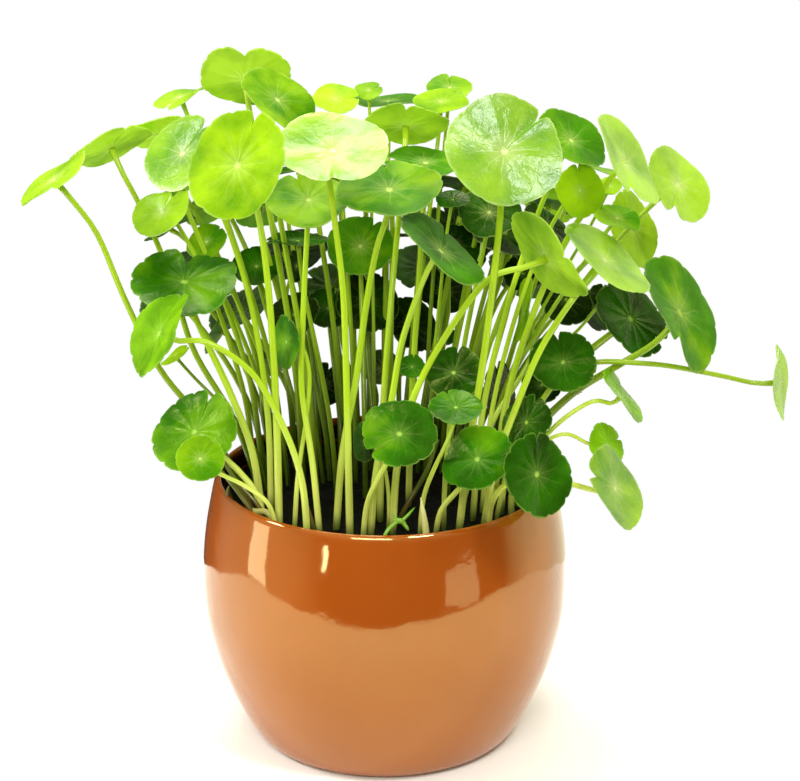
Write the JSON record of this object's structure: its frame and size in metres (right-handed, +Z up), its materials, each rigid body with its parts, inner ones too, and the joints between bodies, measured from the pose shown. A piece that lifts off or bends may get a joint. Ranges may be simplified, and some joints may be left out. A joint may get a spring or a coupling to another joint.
{
  "type": "potted water pennywort",
  "caption": "Round glazed pot of wet soil with a dense clump of long-stalked, round, scalloped pennywort leaves that spread over its rim.",
  "frame": {"origin": "middle of the pot's flat base, on the surface that it stands on", "axes": "+Z up the pot's axis, -Y to the side that the picture shows, +X to its right"},
  "size_m": [0.3148, 0.188, 0.2928],
  "materials": {
    "glaze": "gloss, terracotta brown",
    "wet_soil": "wet, rough",
    "old_stalk": "satin, yellowed",
    "bright_leaf": "waxy, light green",
    "deep_leaf": "waxy, deep green"
  },
  "bodies": {
    "root": {"pot": "glaze", "soil": "wet_soil", "runner": "old_stalk", "leaf_01": "bright_leaf", "leaf_02": "bright_leaf", "leaf_03": "bright_leaf", "leaf_04": "bright_leaf", "leaf_05": "bright_leaf", "leaf_06": "bright_leaf", "leaf_07": "bright_leaf", "leaf_08": "bright_leaf", "leaf_09": "bright_leaf", "leaf_10": "bright_leaf", "leaf_11": "bright_leaf", "leaf_12": "bright_leaf", "leaf_13": "bright_leaf", "leaf_14": "bright_leaf", "leaf_15": "bright_leaf", "leaf_16": "bright_leaf", "leaf_17": "bright_leaf", "leaf_18": "bright_leaf", "leaf_19": "bright_leaf", "leaf_20": "bright_leaf", "leaf_21": "bright_leaf", "leaf_22": "bright_leaf", "leaf_23": "bright_leaf", "leaf_24": "bright_leaf", "leaf_25": "bright_leaf", "leaf_26": "bright_leaf", "leaf_27": "bright_leaf", "leaf_28": "bright_leaf", "leaf_29": "bright_leaf", "leaf_30": "deep_leaf", "leaf_31": "deep_leaf", "leaf_32": "deep_leaf", "leaf_33": "bright_leaf", "leaf_34": "deep_leaf", "leaf_35": "deep_leaf", "leaf_36": "bright_leaf", "leaf_37": "deep_leaf", "leaf_38": "deep_leaf", "leaf_39": "deep_leaf", "leaf_40": "deep_leaf", "leaf_41": "deep_leaf", "leaf_42": "deep_leaf", "leaf_43": "deep_leaf", "leaf_44": "deep_leaf", "leaf_45": "deep_leaf", "leaf_46": "bright_leaf", "leaf_47": "deep_leaf", "leaf_48": "deep_leaf", "leaf_49": "deep_leaf", "leaf_50": "deep_leaf", "leaf_51": "deep_leaf", "leaf_52": "bright_leaf", "leaf_53": "deep_leaf", "leaf_54": "bright_leaf", "leaf_55": "deep_leaf", "leaf_56": "bright_leaf", "leaf_57": "deep_leaf"}
  },
  "joints": []
}
